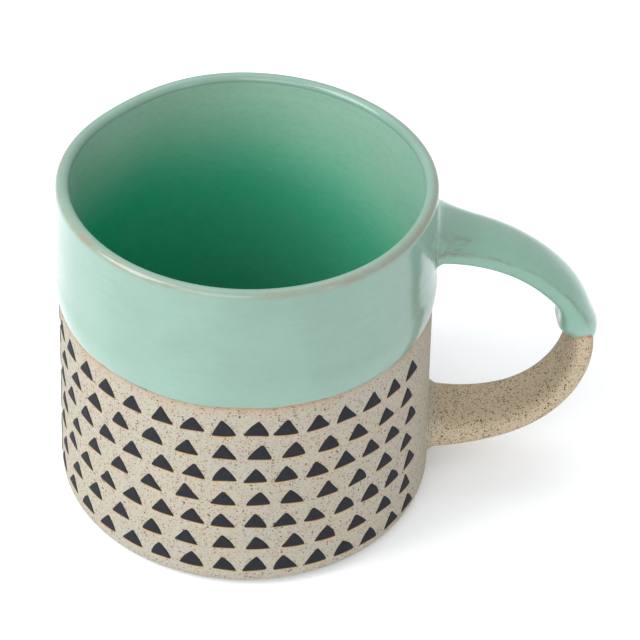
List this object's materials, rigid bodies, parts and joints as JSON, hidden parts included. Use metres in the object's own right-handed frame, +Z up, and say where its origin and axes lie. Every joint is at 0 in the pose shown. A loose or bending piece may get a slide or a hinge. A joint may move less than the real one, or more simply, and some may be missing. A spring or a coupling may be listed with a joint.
{
  "type": "mug",
  "caption": "Round stoneware mug with a strap handle: glazed above and inside, bare speckled clay with rows of dark triangles below.",
  "frame": {"origin": "centre of the foot's resting plane, on the cup's axis", "axes": "+Z up along the cup's axis, +X towards the handle"},
  "size_m": [0.1378, 0.0964, 0.0915],
  "materials": {
    "speckled_clay": "bare fired clay, matt, with brown and black specks",
    "mint_glaze": "glossy mint glaze, thin and brownish on the lip, thick at its lower edge",
    "liner_glaze": "glossy green glaze, deeper where it lies thick",
    "dark_slip": "matt blue-black slip"
  },
  "bodies": {
    "root": {"cup_body": "speckled_clay", "handle": "speckled_clay", "upper_slip_joint": "mint_glaze", "lower_slip_joint": "speckled_clay", "inner_glaze": "liner_glaze", "outer_glaze": "mint_glaze", "handle_glaze": "mint_glaze", "triangle_row_1": "dark_slip", "triangle_row_2": "dark_slip", "triangle_row_3": "dark_slip", "triangle_row_4": "dark_slip", "triangle_row_5": "dark_slip", "triangle_row_6": "dark_slip", "triangle_row_7": "dark_slip"}
  },
  "joints": []
}
